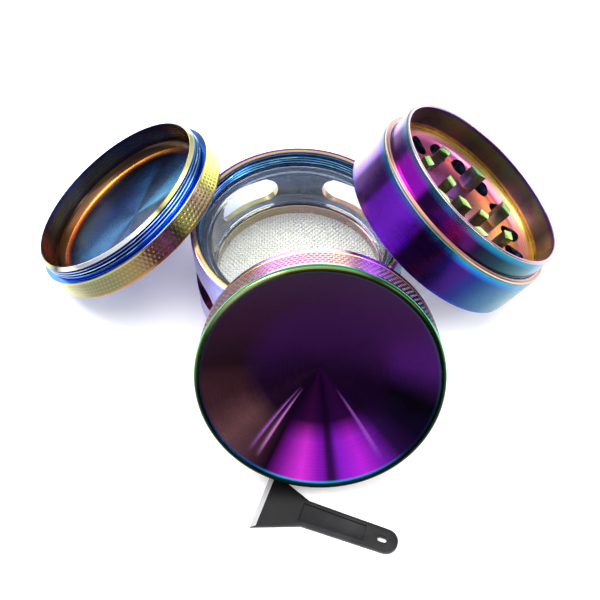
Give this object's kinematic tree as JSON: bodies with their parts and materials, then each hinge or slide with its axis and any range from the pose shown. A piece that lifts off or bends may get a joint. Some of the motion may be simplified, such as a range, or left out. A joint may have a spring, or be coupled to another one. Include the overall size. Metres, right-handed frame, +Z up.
{
  "type": "herb grinder",
  "caption": "Round metal herb grinder taken apart: dished lid, toothed grinding chamber, windowed sieve chamber with a fine screen, powder tray, and a small scraper.",
  "frame": {"origin": "bottom centre of the laid-out set's bounding box, on the surface it stands on", "axes": "+Z up; +X from the tray towards the grinding chamber; +Y from the lid and scraper in front towards the sieve chamber behind"},
  "size_m": [0.1582, 0.1324, 0.0604],
  "materials": {
    "sieve_plating": "iridescent plated, polished",
    "tray_plating": "iridescent plated, turned",
    "chamber_plating": "iridescent plated, turned",
    "lid_plating": "iridescent plated, turned",
    "magnet_plating": "nickel plated",
    "woven_wire": "fine woven wire",
    "clear_acrylic": "clear, polished",
    "glide_nylon": "satin",
    "black_plastic": "moulded, matte"
  },
  "bodies": {
    "sieve_chamber": {"sieve_shell": "sieve_plating", "screen_mesh": "woven_wire", "screen_ring": "sieve_plating", "window_sleeve": "clear_acrylic"},
    "tray": {"tray_shell": "tray_plating"},
    "grinding_chamber": {"chamber_shell": "chamber_plating", "chamber_magnet": "magnet_plating"},
    "glide_ring": {"glide_ring": "glide_nylon"},
    "lid": {"lid_shell": "lid_plating", "lid_magnet": "magnet_plating"},
    "scraper": {"scraper": "black_plastic"}
  },
  "joints": [
    {"name": "lid_turn", "type": "hinge", "parent": "sieve_chamber", "child": "lid", "pos_m": [0.00711, -0.03103, 0.03113], "axis": [-0.0211, -0.8631, 0.5045], "continuous": true},
    {"name": "chamber_turn", "type": "hinge", "parent": "sieve_chamber", "child": "grinding_chamber", "pos_m": [0.05257, 0.03007, 0.03303], "axis": [0.596, 0.1169, 0.7944], "continuous": true},
    {"name": "glide_ring_turn", "type": "hinge", "parent": "grinding_chamber", "child": "glide_ring", "pos_m": [0.05126, 0.02981, 0.03128], "axis": [0.596, 0.1169, 0.7944], "continuous": true},
    {"name": "tray_turn", "type": "hinge", "parent": "sieve_chamber", "child": "tray", "pos_m": [-0.05169, 0.03496, 0.02277], "axis": [-0.5322, 0.1288, 0.8368], "continuous": true},
    {"name": "scraper_slide", "type": "slide", "parent": "sieve_chamber", "child": "scraper", "axis": [0.9415, -0.3371, 0], "range_m": [0, 0.06]}
  ]
}
